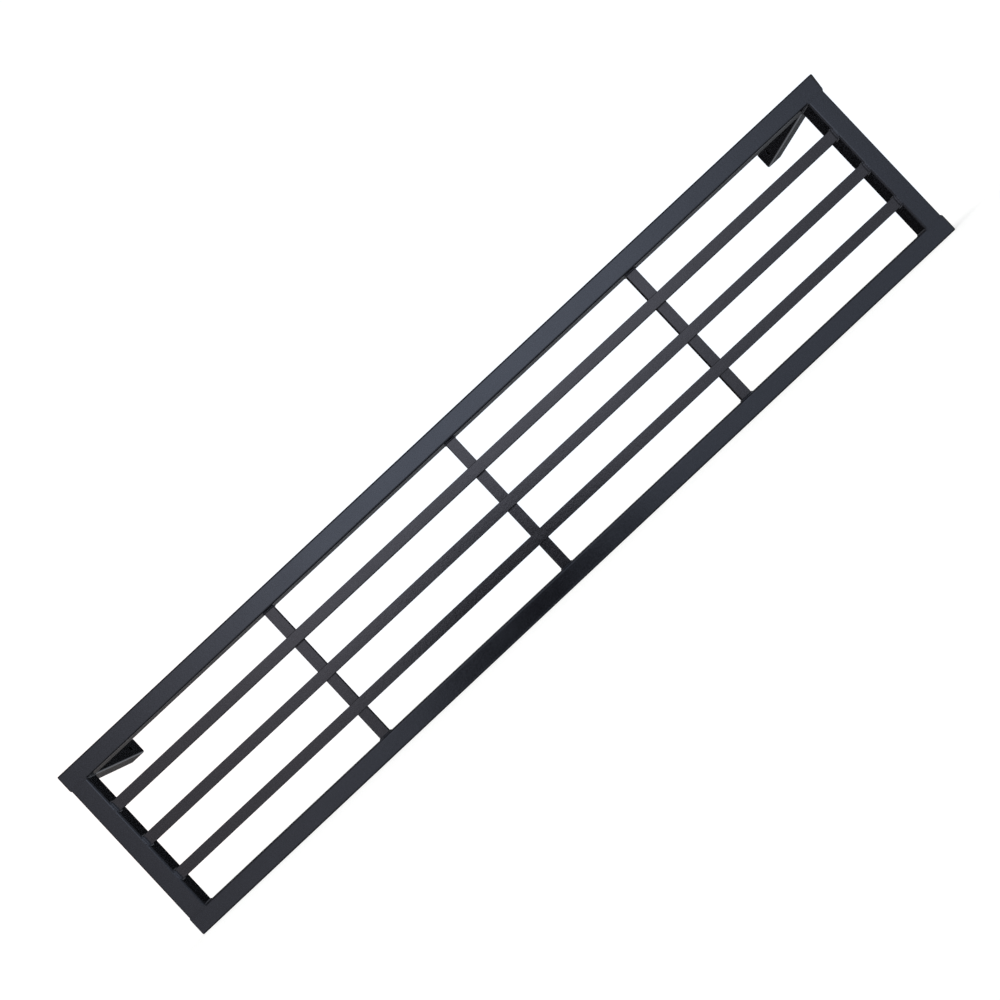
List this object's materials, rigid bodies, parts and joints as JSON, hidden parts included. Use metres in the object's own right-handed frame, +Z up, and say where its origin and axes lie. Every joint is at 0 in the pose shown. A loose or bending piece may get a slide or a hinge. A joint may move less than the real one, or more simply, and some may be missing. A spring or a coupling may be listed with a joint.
{
  "type": "window security bar",
  "caption": "Low, wide welded window grille: square tube frame, flat bars lengthwise and crosswise, and fixing arms that run back from its top corners.",
  "frame": {"origin": "centre of the bottom rail's underside, midway along the rail", "axes": "+X to the right as seen from outside, along the rails; +Y from the front of the grille towards the window and wall; +Z up"},
  "size_m": [1.004, 0.142, 0.208],
  "materials": {
    "powder_coated_steel": "satin, fine-textured black powder coat",
    "coated_weld": "weld beads under the same satin black powder coat",
    "plug_plastic": "matt black moulded plastic"
  },
  "bodies": {
    "root": {"top_rail": "powder_coated_steel", "bottom_rail": "powder_coated_steel", "left_end_rail": "powder_coated_steel", "right_end_rail": "powder_coated_steel", "upper_bar": "powder_coated_steel", "middle_bar": "powder_coated_steel", "lower_bar": "powder_coated_steel", "left_cross_bar": "powder_coated_steel", "centre_cross_bar": "powder_coated_steel", "right_cross_bar": "powder_coated_steel", "left_arm": "powder_coated_steel", "right_arm": "powder_coated_steel", "top_rail_left_plug": "plug_plastic", "top_rail_right_plug": "plug_plastic", "bottom_rail_left_plug": "plug_plastic", "bottom_rail_right_plug": "plug_plastic", "left_arm_plug": "plug_plastic", "right_arm_plug": "plug_plastic", "corner_welds": "coated_weld", "arm_welds": "coated_weld", "bar_end_welds": "coated_weld", "cross_bar_welds": "coated_weld", "crossing_welds": "coated_weld"}
  },
  "joints": []
}
